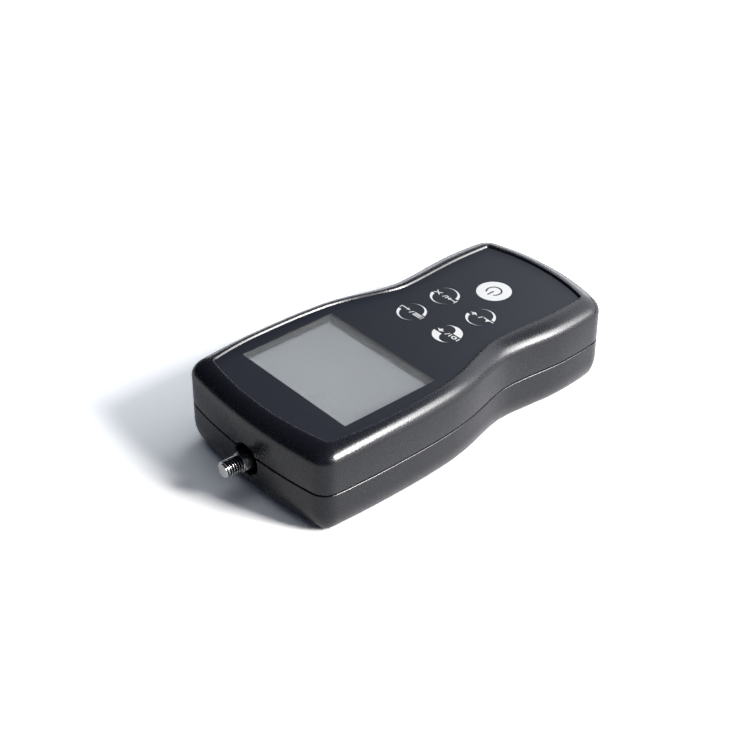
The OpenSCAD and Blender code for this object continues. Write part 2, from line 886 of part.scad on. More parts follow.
// S-shaped block: two slits and a double hole leave two thin bending webs
module load_cell() {
    color("#b7bbc0")
        difference() {
            block([0, sensor_y], [sensor_w, sensor_l], sensor_z, sensor_z + sensor_t);
            translate([-sensor_w / 2 - eps, sensor_y1 - bar_t - slit, sensor_z - eps])
                cube([slit_reach + eps, slit, sensor_t + 2 * eps]);
            translate([sensor_w / 2 - slit_reach, sensor_y0 + bar_t, sensor_z - eps])
                cube([slit_reach + eps, slit, sensor_t + 2 * eps]);
            for (side = [-1, 1])
                post([side * bean_span / 2, sensor_y], 2 * bean_r, sensor_z - eps, axis_z + sensor_t);
            along_axis(thread_d + 2 * slip, sensor_y1 - stud_in - slip, sensor_y1 + eps);
            for (at = foot_at)
                post(at, foot_screw_d + 2 * slip, sensor_z - eps, chassis_z + foot_screw_l + eps);
        }
}

module load_cell_screws() {
    color("#8f9398")
        for (at = foot_at)
            union() {
                translate([at[0], at[1], chassis_z])
                    cylinder(d1 = foot_head_d, d2 = foot_screw_d, h = foot_head_h);
                post(at, foot_screw_d, chassis_z + foot_head_h - lap, chassis_z + foot_screw_l);
            }
}

// Four foil gauges on the sides of the load cell
module strain_gauges() {
    color("#c98d3a")
        for (side = [-1, 1], rise = [-1, 1])
            translate([
                side * (sensor_w / 2 + gauge_size[0] / 2), sensor_y + rise * gauge_rise,
                axis_z - gauge_size[2] / 2
            ])
                translate([-gauge_size[0] / 2, -gauge_size[1] / 2, 0])
                    cube(gauge_size);
}

// Six-sided coupler between the load cell and the stud
module hex_coupler() {
    corner_d = coupler_af / cos(30);
    color("#55575b")
        difference() {
            intersection() {
                translate([0, sensor_y1, axis_z])
                    rotate([-90, 0, 0])
                        rotate([0, 0, -coupler_turn])
                            cylinder(d = corner_d, h = coupler_y1 - sensor_y1, $fn = 6);
                translate([0, sensor_y1, axis_z])
                    rotate([-90, 0, 0])
                        rotate_extrude()
                            polygon([
                                [0, 0], [corner_d / 2 + eps, 0],
                                [corner_d / 2 + eps, coupler_y1 - sensor_y1 - coupler_chamfer - eps],
                                [corner_d / 2 - coupler_chamfer, coupler_y1 - sensor_y1],
                                [0, coupler_y1 - sensor_y1]
                            ]);
            }
            along_axis(thread_d + 2 * slip, sensor_y1 - eps, coupler_y1 + eps);
        }
}

// Stud: its free end has the thread's outer diameter, the rest fills the engaged threads
module measuring_stud() {
    length = stud_y1 - sensor_y1 + stud_in;
    free_at = length - stud_out;
    color("#d3d5d8")
        translate([0, sensor_y1 - stud_in, axis_z])
            rotate([-90, 0, 0])
                rotate_extrude()
                    polygon([
                        [0, 0], [thread_d / 2, 0], [thread_d / 2, free_at], [stud_d / 2, free_at],
                        [stud_d / 2, length - stud_chamfer],
                        [stud_d / 2 - stud_chamfer, length], [0, length]
                    ]);
}

front_shell();
rear_shell();
housing_screws();
overlay_film();
display_window();
display_gasket();
lcd_glass();
lcd_backlight();
lcd_ribbon();
main_board();
board_screws();
board_chips();
board_connectors();
buzzer();
switch_bases();
menu_key();
zero_key();
send_key();
peak_key();
power_key();
menu_plunger();
zero_plunger();
send_plunger();
peak_plunger();
power_plunger();
usb_socket();
battery_pack();
battery_pad();
battery_lead();
chassis_plate();
chassis_screws();
mount_bushes();
load_cell();
load_cell_screws();
strain_gauges();
sensor_lead();
hex_coupler();
measuring_stud();
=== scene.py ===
import json
import math

import bmesh
import bpy
from mathutils import Matrix, Vector


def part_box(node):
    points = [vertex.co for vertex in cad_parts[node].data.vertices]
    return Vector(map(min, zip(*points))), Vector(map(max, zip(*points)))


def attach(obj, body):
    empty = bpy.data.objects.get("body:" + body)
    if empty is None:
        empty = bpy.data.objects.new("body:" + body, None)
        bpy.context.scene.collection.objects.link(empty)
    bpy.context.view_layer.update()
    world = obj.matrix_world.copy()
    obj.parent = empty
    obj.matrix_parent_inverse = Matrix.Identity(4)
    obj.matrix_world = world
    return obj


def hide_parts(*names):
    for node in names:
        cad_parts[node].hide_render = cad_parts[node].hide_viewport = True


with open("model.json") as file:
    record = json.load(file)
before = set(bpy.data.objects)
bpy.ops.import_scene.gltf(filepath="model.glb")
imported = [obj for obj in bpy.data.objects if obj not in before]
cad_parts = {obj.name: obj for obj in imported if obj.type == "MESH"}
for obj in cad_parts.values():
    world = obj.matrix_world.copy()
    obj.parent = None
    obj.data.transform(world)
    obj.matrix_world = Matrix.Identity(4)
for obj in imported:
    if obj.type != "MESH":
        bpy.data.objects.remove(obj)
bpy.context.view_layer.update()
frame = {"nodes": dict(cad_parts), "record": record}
nodes = frame["nodes"]
scene = bpy.context.scene
mm = 0.001
weld = 1e-7  # metres, nearer points are one
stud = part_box("measuring_stud")
axisZ = (stud[0].z + stud[1].z) / 2 / mm  # height of the measuring axis

# Camera
photoCamera = {
    "target": (-11.82, 25.66, 32.84),  # mm, a point on the front panel
    "distance": 582.2,  # mm
    "azimuth": 229.111,  # degrees
    "elevation": 35.025,
    "lens": 82.56,  # mm, on a square frame
    "sensor": 36.0,
    "clip": (0.01, 20.0),  # metres
}


def direction(azimuth, elevation):
    a, e = math.radians(azimuth), math.radians(elevation)
    return Vector((math.sin(a) * math.cos(e), -math.cos(a) * math.cos(e), math.sin(e)))


def placeCamera(values):
    data = bpy.data.cameras.new("photoCamera")
    data.lens = values["lens"]
    data.sensor_width = values["sensor"]
    data.clip_start, data.clip_end = values["clip"]
    camera = bpy.data.objects.new("photoCamera", data)
    back = direction(values["azimuth"], values["elevation"])
    camera.location = (Vector(values["target"]) + back * values["distance"]) * mm
    camera.rotation_euler = (-back).to_track_quat("-Z", "Y").to_euler()
    scene.collection.objects.link(camera)
    scene.camera = camera


placeCamera(photoCamera)
scene.view_settings.view_transform = "Standard"
print("camera placed")


# Materials: every finish is a Principled shader with a grain on Object coordinates
def newMaterial(name):
    material = bpy.data.materials.new(name)
    material.use_nodes = True
    tree = material.node_tree
    place = tree.nodes.new("ShaderNodeTexCoord").outputs["Object"]
    return material, tree, tree.nodes["Principled BSDF"], place


def stretched(tree, place, scale):
    mapping = tree.nodes.new("ShaderNodeMapping")
    mapping.inputs["Scale"].default_value = scale
    tree.links.new(place, mapping.inputs["Vector"])
    return mapping.outputs["Vector"]


def noise(tree, place, size, detail=2.0):  # size of a grain, mm
    node = tree.nodes.new("ShaderNodeTexNoise")
    node.inputs["Scale"].default_value = 1 / (size * mm)
    node.inputs["Detail"].default_value = detail
    tree.links.new(place, node.inputs["Vector"])
    return node.outputs["Fac"]


def ramp(tree, factor, low, high, start=0.3, end=0.7):
    node = tree.nodes.new("ShaderNodeValToRGB")
    node.color_ramp.elements[0].position = start
    node.color_ramp.elements[0].color = (*low, 1)
    node.color_ramp.elements[1].position = end
    node.color_ramp.elements[1].color = (*high, 1)
    tree.links.new(factor, node.inputs["Fac"])
    return node.outputs["Color"]


def spread(tree, factor, low, high, start=0.3, end=0.7):
    node = tree.nodes.new("ShaderNodeMapRange")
    node.inputs["From Min"].default_value = start
    node.inputs["From Max"].default_value = end
    node.inputs["To Min"].default_value = low
    node.inputs["To Max"].default_value = high
    tree.links.new(factor, node.inputs["Value"])
    return node.outputs["Result"]


def bump(tree, shader, height, depth):  # depth, mm
    node = tree.nodes.new("ShaderNodeBump")
    node.inputs["Strength"].default_value = 1.0
    node.inputs["Distance"].default_value = depth * mm
    tree.links.new(height, node.inputs["Height"])
    tree.links.new(node.outputs["Normal"], shader.inputs["Normal"])


def blend(tree, share, under, over):  # a colour laid over another where the share is 1
    node = tree.nodes.new("ShaderNodeMix")
    node.data_type = "RGBA"
    low, high = (s for s in node.inputs if s.type == "RGBA")
    high.default_value = (*over, 1)
    tree.links.new(share, node.inputs["Factor"])
    tree.links.new(under, low)
    return next(s for s in node.outputs if s.type == "RGBA")


def vectorMath(tree, operation, vector, *values):
    node = tree.nodes.new("ShaderNodeVectorMath")
    node.operation = operation
    tree.links.new(vector, node.inputs[0])
    for socket, value in zip(node.inputs[1:], values):
        socket.default_value = value
    return node


def either(tree, share, first, second):  # the second shader where the share is 1
    node = tree.nodes.new("ShaderNodeMixShader")
    for socket, source in zip(node.inputs, (share, first, second)):
        tree.links.new(source, socket)
    return node.outputs["Shader"]


def grained(name, values):
    material, tree, shader, place = newMaterial(name)
    if "stretch" in values:
        place = stretched(tree, place, values["stretch"])
    grain = noise(tree, place, values["grain"], values.get("detail", 3.0))
    patch = noise(tree, place, values["patch"])
    low, high = values["colours"]
    tree.links.new(ramp(tree, patch, low, high), shader.inputs["Base Color"])
    tree.links.new(spread(tree, grain, *values["roughness"]), shader.inputs["Roughness"])
    shader.inputs["Metallic"].default_value = values.get("metal", 0.0)
    shader.inputs["Specular IOR Level"].default_value = values.get("shine", 0.5)
    bump(tree, shader, grain, values["depth"])
    return material


# Sizes are in mm, colours are linear
finishes = {
    "shell": {  # spark-eroded moulding
        "colours": ((0.0100, 0.0106, 0.0162), (0.0130, 0.0136, 0.0198)), "patch": 0.8,
        "roughness": (0.21, 0.30), "grain": 0.62, "depth": 0.031, "detail": 2.5,
    },
    "film": {  # printed satin overlay
        "colours": ((0.0175, 0.0205, 0.0310), (0.0195, 0.0225, 0.0335)), "patch": 30.0,
        "roughness": (0.34, 0.40), "grain": 0.12, "depth": 0.0012, "shine": 0.32,
    },
    "key_white": {
        "colours": ((0.945, 0.95, 0.955), (0.965, 0.97, 0.975)), "patch": 4.0,
        "roughness": (0.38, 0.46), "grain": 0.12, "depth": 0.001,
    },
    "gasket": {
        "colours": ((0.010, 0.0105, 0.011), (0.014, 0.0145, 0.015)), "patch": 1.5,
        "roughness": (0.6, 0.75), "grain": 0.3, "depth": 0.01, "shine": 0.2,
    },
    "lcd": {
        "colours": ((0.170, 0.176, 0.178), (0.188, 0.195, 0.200)), "patch": 60.0,
        "roughness": (0.22, 0.3), "grain": 0.25, "depth": 0.0002,
    },
    "white_plastic": {
        "colours": ((0.72, 0.72, 0.69), (0.80, 0.80, 0.77)), "patch": 3.0,
        "roughness": (0.4, 0.5), "grain": 0.4, "depth": 0.004,
    },
    "polyimide": {
        "colours": ((0.48, 0.21, 0.035), (0.60, 0.29, 0.06)), "patch": 2.0,
        "roughness": (0.28, 0.36), "grain": 0.2, "depth": 0.001,
    },
    "steel": {
        "colours": ((0.52, 0.53, 0.54), (0.62, 0.63, 0.64)), "patch": 1.0,
        "roughness": (0.28, 0.42), "grain": 0.15, "depth": 0.002, "metal": 1.0,
    },
    "black_steel": {
        "colours": ((0.012, 0.012, 0.013), (0.022, 0.022, 0.023)), "patch": 0.8,
        "roughness": (0.35, 0.5), "grain": 0.12, "depth": 0.003, "metal": 0.6,
    },
    "black_plastic": {
        "colours": ((0.016, 0.017, 0.018), (0.024, 0.025, 0.027)), "patch": 1.5,
        "roughness": (0.42, 0.55), "grain": 0.2, "depth": 0.004,
    },
    "grey_plastic": {
        "colours": ((0.085, 0.09, 0.095), (0.11, 0.115, 0.12)), "patch": 1.5,
        "roughness": (0.4, 0.5), "grain": 0.2, "depth": 0.004,
    },
    "cream_plastic": {
        "colours": ((0.70, 0.66, 0.54), (0.78, 0.74, 0.62)), "patch": 2.0,
        "roughness": (0.4, 0.5), "grain": 0.25, "depth": 0.004,
    },
    "socket_shell": {
        "colours": ((0.54, 0.55, 0.56), (0.64, 0.65, 0.66)), "patch": 1.2,
        "roughness": (0.2, 0.32), "grain": 0.1, "depth": 0.001, "metal": 1.0,
    },
    "sleeve": {
        "colours": ((0.022, 0.13, 0.37), (0.03, 0.16, 0.43)), "patch": 6.0,
        "roughness": (0.2, 0.32), "grain": 1.2, "depth": 0.02,
    },
    "foam": {
        "colours": ((0.11, 0.115, 0.12), (0.17, 0.175, 0.18)), "patch": 0.5,
        "roughness": (0.8, 0.95), "grain": 0.3, "depth": 0.05,
    },
    "red_lead": {
        "colours": ((0.36, 0.018, 0.015), (0.44, 0.028, 0.022)), "patch": 2.0,
        "roughness": (0.35, 0.45), "grain": 0.3, "depth": 0.004,
    },
    "white_lead": {
        "colours": ((0.62, 0.62, 0.58), (0.70, 0.70, 0.66)), "patch": 2.0,
        "roughness": (0.35, 0.45), "grain": 0.3, "depth": 0.004,
    },
    "aluminium": {  # milled, with its cutter lines along the gauge
        "colours": ((0.50, 0.52, 0.54), (0.60, 0.62, 0.64)), "patch": 1.0, "stretch": (1, 0.06, 1),
        "roughness": (0.28, 0.45), "grain": 0.25, "depth": 0.004, "metal": 1.0,
    },
    "brass": {
        "colours": ((0.50, 0.34, 0.09), (0.60, 0.42, 0.12)), "patch": 1.0, "stretch": (1, 1, 6),
        "roughness": (0.22, 0.36), "grain": 0.3, "depth": 0.002, "metal": 1.0,
    },
    "dark_steel": {  # burnished
        "colours": ((0.30, 0.295, 0.29), (0.44, 0.435, 0.43)), "patch": 0.7, "stretch": (1, 5, 1),
        "roughness": (0.22, 0.36), "grain": 0.25, "depth": 0.004, "metal": 1.0,
    },
}
materials = {slot: grained(slot, values) for slot, values in finishes.items()}

paneValues = {
    "colour": (0.95, 0.97, 0.99, 1), "clear": 0.937, "bend": 1.47, "roughness": (0.0, 0.012),
    "haze": 8.0,  # mm
}
threadValues = {  # mm
    # the thread's colour goes from painted shade at its roots to a painted highlight on its crests
    "paintedShadeRadii": (2.80, 2.95), "colours": ((0.020, 0.020, 0.021), (0.92, 0.92, 0.93)), "stretch": (1, 5, 1),
    "roughness": (0.16, 0.28), "grain": 0.2, "depth": 0.003,
    "tip": (0.60, 0.605, 0.62), "tipFrom": 0.55, "tipTo": 0.45,
}
boardValues = {
    "mask": ((0.006, 0.10, 0.028), (0.010, 0.13, 0.040)), "copper": (0.035, 0.22, 0.085),
    "patch": 5.0, "cell": 2.2, "trace": 0.12, "roughness": (0.3, 0.4), "depth": 0.03,  # mm
}


def clearPane(values):
    material, tree, shader, place = newMaterial("pane")
    shader.inputs["Base Color"].default_value = values["colour"]
    shader.inputs["Transmission Weight"].default_value = values["clear"]
    shader.inputs["IOR"].default_value = values["bend"]
    haze = noise(tree, place, values["haze"])
    tree.links.new(spread(tree, haze, *values["roughness"]), shader.inputs["Roughness"])
    return material


def threadSteelWithPaintedShade(values):  # painted shade in the thread's roots, and a painted highlight that makes the crests brighter than the steel
    material, tree, shader, place = newMaterial("bright_steel")
    across = vectorMath(tree, "MULTIPLY_ADD", place, (1, 0, 1), (0, 0, -axisZ * mm))
    radius = vectorMath(tree, "LENGTH", across.outputs["Vector"])
    # Painted shade and highlight: the colour runs from dark at the root radius to bright at the crest radius
    start, end = (r * mm for r in values["paintedShadeRadii"])
    height = spread(tree, radius.outputs["Value"], 0.0, 1.0, start, end)
    sides = ramp(tree, height, *values["colours"], 0.0, 1.0)
    along = vectorMath(tree, "DOT_PRODUCT", place, (0, 1, 0))
    start, end = (stud[1].y - values[edge] * mm for edge in ("tipFrom", "tipTo"))
    atTip = spread(tree, along.outputs["Value"], 0.0, 1.0, start, end)
    tree.links.new(blend(tree, atTip, sides, values["tip"]), shader.inputs["Base Color"])
    grain = noise(tree, stretched(tree, place, values["stretch"]), values["grain"], 3.0)
    tree.links.new(spread(tree, grain, *values["roughness"]), shader.inputs["Roughness"])
    shader.inputs["Metallic"].default_value = 1.0
    bump(tree, shader, grain, values["depth"])
    return material


def solderMask(values):  # copper runs show through the mask
    material, tree, shader, place = newMaterial("board")
    cells = tree.nodes.new("ShaderNodeTexVoronoi")
    cells.distance = "MANHATTAN"
    cells.feature = "DISTANCE_TO_EDGE"
    cells.inputs["Scale"].default_value = 1 / (values["cell"] * mm)
    tree.links.new(place, cells.inputs["Vector"])
    runs = spread(tree, cells.outputs["Distance"], 1.0, 0.0, 0.0, values["trace"])
    mask = ramp(tree, noise(tree, place, values["patch"]), *values["mask"])
    tree.links.new(blend(tree, runs, mask, values["copper"]), shader.inputs["Base Color"])
    tree.links.new(spread(tree, mask, *values["roughness"]), shader.inputs["Roughness"])
    bump(tree, shader, runs, values["depth"])
    return material


materials["bright_steel"] = threadSteelWithPaintedShade(threadValues)
materials["pane"] = clearPane(paneValues)
materials["board"] = solderMask(boardValues)
for part in frame["record"]["subparts"]:
    mesh = nodes[part["node"]].data
    mesh.materials.clear()
    mesh.materials.append(materials[part["material_slot"]])
nodes["display_window"].visible_shadow = False  # lamps light the cell under the pane
print("materials:", len(materials))


# Modelling helpers
def finishPiece(bm, name, slot, body, replaced=None, cutter=None, sharpAngle=35):
    bmesh.ops.recalc_face_normals(bm, faces=bm.faces)
    mesh = bpy.data.meshes.new(name)
    bm.to_mesh(mesh)
    bm.free()
    piece = bpy.data.objects.new(name, mesh)
    scene.collection.objects.link(piece)
    if cutter:
        cutAway(piece, cutter)
    piece.data.materials.clear()
    piece.data.materials.append(materials[slot])
    piece.data.shade_smooth()
    piece.data.set_sharp_from_angle(angle=math.radians(sharpAngle))
    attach(piece, body)
    if replaced:
        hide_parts(replaced)
    return piece


def cutAway(piece, cutterShape):
    bmesh.ops.recalc_face_normals(cutterShape, faces=cutterShape.faces)
    mesh = bpy.data.meshes.new("cutter")
    cutterShape.to_mesh(mesh)
    cutterShape.free()
    cutter = bpy.data.objects.new("cutter", mesh)
    scene.collection.objects.link(cutter)
    cut = piece.modifiers.new("cut", "BOOLEAN")
    cut.operation = "DIFFERENCE"
    cut.solver = "EXACT"
    cut.object = cutter
    evaluated = piece.evaluated_get(bpy.context.evaluated_depsgraph_get())
    uncut = piece.data
    finished = bpy.data.meshes.new_from_object(evaluated)
    piece.modifiers.clear()
    piece.data = finished
    bpy.data.meshes.remove(uncut)
    finished.name = piece.name
    bpy.data.objects.remove(cutter)
    bpy.data.meshes.remove(mesh)


def ringEdges(bm, ring):
    return [bm.edges.get((ring[i - 1], ring[i])) for i in range(len(ring))]


def growRing(bm, ring, points):  # extrudes a ring and moves the new one to its points
    grown = bmesh.ops.extrude_edge_only(bm, edges=ringEdges(bm, ring))["geom"]
    fresh = {v for v in grown if isinstance(v, bmesh.types.BMVert)}
    following = []
    for vert, point in zip(ring, points):
        follower = next(o for o in (e.other_vert(vert) for e in vert.link_edges) if o in fresh)
        follower.co = point
        following.append(follower)
    return following


def stackRings(rings):  # closed skin that grows from ring to ring
    bm = bmesh.new()
    ring = bmesh.ops.create_circle(bm, segments=len(rings[0]), radius=mm)["verts"]
    for vert, point in zip(ring, rings[0]):
        vert.co = point
    first = ring
    for points in rings[1:]:
        ring = growRing(bm, ring, points)
    for loop in (first, ring):
        bmesh.ops.edgeloop_fill(bm, edges=ringEdges(bm, loop))
    return bm


def turned(bm, profile, place, steps=48):  # profile of (radius, height) in mm, spun round Z
    spine = [bm.verts.new((r * mm, 0, h * mm)) for r, h in profile]
    edges = [bm.edges.new(pair) for pair in zip(spine, spine[1:])]
    before = set(bm.verts) - set(spine)
    bmesh.ops.spin(
        bm, geom=spine + edges, cent=(0, 0, 0), axis=(0, 0, 1), angle=math.tau, steps=steps,
        use_merge=True,
    )
    made = [v for v in bm.verts if v not in before]
    bmesh.ops.remove_doubles(bm, verts=made, dist=weld)
    made = [v for v in bm.verts if v not in before]
    bmesh.ops.transform(bm, matrix=place, verts=made)


def cutBox(bm, low, high):
    size = high - low
    place = Matrix.Translation((low + high) / 2) @ Matrix.Diagonal((*size, 1))
    bmesh.ops.create_cube(bm, size=1.0, matrix=place)


def framePiece(low, high, sides, name, slot):  # flat frame between two corners, its sides in mm along x and y
    corners = ((low.x, low.y), (high.x, low.y), (high.x, high.y), (low.x, high.y))
    block = stackRings([[Vector((x, y, z)) for x, y in corners] for z in (low.z, high.z)])
    inward = Vector((*sides, -1)) * mm  # the cut goes 1 mm past both faces
    opening = bmesh.new()
    cutBox(opening, low + inward, high - inward)
    finishPiece(block, name, slot, "case", cutter=opening)


# Case outline: half widths and lengths in mm, the same rule for the case and for the panel
frontLow, frontHigh = (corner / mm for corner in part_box("front_shell"))
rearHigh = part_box("rear_shell")[1] / mm
filmLow, filmHigh = (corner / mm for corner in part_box("overlay_film"))
filmGap = 0.15
sideForm = {
    "wideY": 40.0, "shoulderY": 13.0, "neckY": -2.6, "waistY": -21.0, "gripY": -47.0,
    "shoulderShare": 0.12, "neckSteep": 0.035, "leastCorner": 0.8,
}
caseForm = {
    "end": frontHigh.y, "nose": 36.75, "wide": frontHigh.x, "waist": 30.6, "grip": 32.55, "tail": 29.9,
    "noseBow": 190.0, "tailBow": 90.0, "corner": 5.6,
}
panelForm = {
    "end": filmHigh.y + filmGap, "nose": 29.8, "wide": filmHigh.x + filmGap, "waist": 23.15,
    "grip": 24.4, "tail": 23.5, "noseBow": 129.0, "tailBow": 80.0, "corner": 0.9,
}
outlineSteps = {"end": 24, "corner": 14, "side": 110}


def sideStations(form):
    wide, waist, end = form["wide"], form["waist"], form["end"]
    neck = (wide + waist) / 2
    wideY, neckY, gripY = sideForm["wideY"], sideForm["neckY"], sideForm["gripY"]
    shoulder = wide - sideForm["shoulderShare"] * (wide - waist)
    return [
        (end, form["nose"], 2 * (form["nose"] - wide) / (end - wideY)),
        (wideY, wide, 0.0),
        (sideForm["shoulderY"], shoulder, (wide - neck) / (wideY - neckY)),
        (neckY, neck, sideForm["neckSteep"] * (wide - waist)),
        (sideForm["waistY"], waist, 0.0),
        (gripY, form["grip"], 0.0),
        (-end, form["tail"], 2 * (form["tail"] - form["grip"]) / (-end - gripY)),
    ]


def halfWidth(stations, y):
    k = max([0] + [i for i in range(len(stations) - 1) if y <= stations[i][0]])
    (y0, w0, s0), (y1, w1, s1) = stations[k], stations[k + 1]
    span = y1 - y0
    t = (y - y0) / span
    rise = 3 * t**2 - 2 * t**3
    return (1 - rise) * w0 + (t**3 - 2 * t**2 + t) * span * s0 + rise * w1 + (t**3 - t**2) * span * s1


def bow(radius, x):
    return radius - math.sqrt(radius**2 - x**2)


def bend(a, corner, b, t):
    return (1 - t) ** 2 * a + 2 * t * (1 - t) * corner + t**2 * b


def outline(form, inset=0.0):
    stations = sideStations(form)
    end = form["end"] - inset
    cut = max(form["corner"] - inset, sideForm["leastCorner"])
    noseX = halfWidth(stations, end - bow(form["noseBow"], stations[0][1])) - inset
    tailX = halfWidth(stations, bow(form["tailBow"], stations[-1][1]) - end) - inset
    noseCorner = Vector((noseX, end - bow(form["noseBow"], noseX)))
    tailCorner = Vector((tailX, bow(form["tailBow"], tailX) - end))
    sideTop, sideEnd = noseCorner.y - cut, tailCorner.y + cut
    noseIn, tailIn = noseX - cut, tailX - cut
    steps = outlineSteps
    right = []
    for i in range(steps["end"] + 1):
        x = noseIn * i / steps["end"]
        right.append(Vector((x, end - bow(form["noseBow"], x))))
    noseStart, noseStop = right[-1], Vector((halfWidth(stations, sideTop) - inset, sideTop))
    for i in range(1, steps["corner"] + 1):
        right.append(bend(noseStart, noseCorner, noseStop, i / steps["corner"]))
    for i in range(1, steps["side"] + 1):
        y = sideTop + (sideEnd - sideTop) * i / steps["side"]
        right.append(Vector((halfWidth(stations, y) - inset, y)))
    tailStart, tailStop = right[-1], Vector((tailIn, bow(form["tailBow"], tailIn) - end))
    for i in range(1, steps["corner"] + 1):
        right.append(bend(tailStart, tailCorner, tailStop, i / steps["corner"]))
    for i in range(1, steps["end"] + 1):
        x = tailIn * (1 - i / steps["end"])
        right.append(Vector((x, bow(form["tailBow"], x) - end)))
    left = [Vector((-p.x, p.y)) for p in right[-2:0:-1]]
    return right + left


def raised(points, z):
    return [Vector((p.x * mm, p.y * mm, z * mm)) for p in points]


def caseRing(inset, z):
    return raised(outline(caseForm, inset), z)


def sweep(start, stop, count):  # cosine and sine of even steps of a turn, in degrees
    turns = [math.radians(start + (stop - start) * i / count) for i in range(count + 1)]
    return [(math.cos(turn), math.sin(turn)) for turn in turns]


def quarter(count):
    return sweep(0, 90, count)


# Front shell
frontForm = {
    "wall": 2.5, "ceiling": 30.44, "innerRound": 3.9, "innerStep": 2.7, "lipLand": 1.25, "lipTop": 18.6,
    "groove": 0.9, "grooveTop": 17.35, "edge": 0.16, "edgeSteps": 4, "crease": 28.3, "fullness": 1.06,
    "roundSteps": 18, "rimSteps": 6,
    "rimEdge": (0.3, 45), "rimSlope": (3.5, 57),  # radius, and the slope in degrees where it ends
    "paneGap": 0.1, "keyGap": 0.3, "keyPocket": 0.6, "plungerHole": 2.05, "socketGap": 0.2, "socketWall": 5.0,
    "under": 1.0, "over": 0.2, "beyond": 2.0,  # ways that the cuts go past the wall
}
axisForm = {"hole": 6.0, "rim": 0.25, "lip": 0.3, "depth": 8.0, "beyond": 3.0, "steps": 64}  # mm
keyNames = ("menu", "zero", "send", "peak", "power")


def axisHole(bm, form):
    hole, rim, lip = form["hole"], form["rim"], form["lip"]
    inner, outer = -form["depth"], form["beyond"]
    profile = [
        (0, inner), (hole, inner), (hole, -lip - rim), (hole + rim, -lip), (hole + rim, outer), (0, outer),
    ]
    place = Matrix.Translation((0, frontHigh.y * mm, axisZ * mm)) @ Matrix.Rotation(-math.pi / 2, 4, "X")
    turned(bm, profile, place, form["steps"])


def rimProfile(form):  # a tight round, then a slope that falls to the film: ways inward and down
    points, inward, down, start = [], 0.0, 0.0, 0
    for radius, stop in (form["rimEdge"], form["rimSlope"]):
        turns = sweep(start, stop, form["rimSteps"])
        firstC, firstS = turns[0]
        points += [(inward + radius * (s - firstS), down + radius * (firstC - c)) for c, s in turns[1:]]
        (inward, down), start = points[-1], stop
    return points


def frontRings(form):
    seam, filmFloor, top = frontLow.z, filmLow.z, frontHigh.z
    rings = [
        caseRing(form["wall"] + form["innerStep"], form["ceiling"]),
        caseRing(form["wall"], form["ceiling"] - form["innerRound"]),
        caseRing(form["wall"], form["lipTop"]),
        caseRing(form["lipLand"], form["lipTop"]),
        caseRing(form["lipLand"], seam),
        caseRing(form["groove"], seam),
        caseRing(form["groove"], form["grooveTop"]),
    ]
    edge = form["edge"]
    for c, s in quarter(form["edgeSteps"]):
        rings.append(caseRing(edge * (1 - s), form["grooveTop"] + edge * (1 - c)))
    rim = rimProfile(form)
    body, crown = outline(caseForm), outline(panelForm, -rim[-1][0])
    height = top - form["crease"]
    for c, s in quarter(form["roundSteps"]):
        out, rise = c ** form["fullness"], s ** form["fullness"]
        rings.append(raised([p + (b - p) * out for b, p in zip(body, crown)], form["crease"] + height * rise))
    for inward, down in rim:
        rings.append(raised(outline(panelForm, inward - rim[-1][0]), top - down))
    rings.append(raised(outline(panelForm), filmFloor))
    return rings


def frontCutter(form):
    bm = bmesh.new()
    axisHole(bm, axisForm)
    ceiling, over = form["ceiling"] - form["under"], filmHigh.z + form["over"]
    low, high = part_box("display_window")
    gap = Vector((1, 1, 0)) * form["paneGap"] * mm
    low, high = low - gap, high + gap
    low.z, high.z = ceiling * mm, over * mm
    cutBox(bm, low, high)
    for name in keyNames:
        keyLow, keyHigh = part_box(name + "_key")
        radius = (keyHigh.x - keyLow.x) / 2 / mm + form["keyGap"]
        centre = (keyLow + keyHigh) / 2
        pocket, hole = filmLow.z - form["keyPocket"], form["plungerHole"]
        profile = [(0, ceiling), (hole, ceiling), (hole, pocket), (radius, pocket), (radius, over), (0, over)]
        turned(bm, profile, Matrix.Translation((centre.x, centre.y, 0)))
    low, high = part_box("usb_socket")
    gap = Vector((1, 0, 1)) * form["socketGap"] * mm
    low, high = low - gap, high + gap
    low.y, high.y = (frontLow.y - form["beyond"]) * mm, (frontLow.y + form["socketWall"]) * mm
    cutBox(bm, low, high)
    return bm


front = finishPiece(
    stackRings(frontRings(frontForm)), "front_case", "shell", "case", "front_shell", frontCutter(frontForm)
)
print("front shell:", len(front.data.polygons), "faces")

# Border that lines the edge of the pane
borderForm = {"inward": 0.02, "wall": 0.08, "below": 0.01}  # mm


def paneBorder(values):
    low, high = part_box("display_window")
    outward, below = (values["wall"] - values["inward"]) * mm, values["below"] * mm
    face = [v.co for v in nodes["display_window"].data.vertices if v.co.z > high.z - below]
    xs, ys = [p.x for p in face], [p.y for p in face]
    low = Vector((min(xs) - outward, min(ys) - outward, low.z))
    high = Vector((max(xs) + outward, max(ys) + outward, high.z - below))
    framePiece(low, high, (values["wall"], values["wall"]), "window_border", "gasket")


paneBorder(borderForm)
print("pane lined")

# Grey margin of the cell, on its face
marginForm = {"sides": (1.85, 2.9), "sunk": 0.01, "thickness": 0.06}  # mm


def cellMargin(values):
    low, high = (corner.copy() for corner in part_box("display_window"))
    low.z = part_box("lcd_glass")[1].z - values["sunk"] * mm
    high.z = low.z + values["thickness"] * mm
    framePiece(low, high, values["sides"], "cell_margin", "grey_plastic")


cellMargin(marginForm)
print("cell framed")

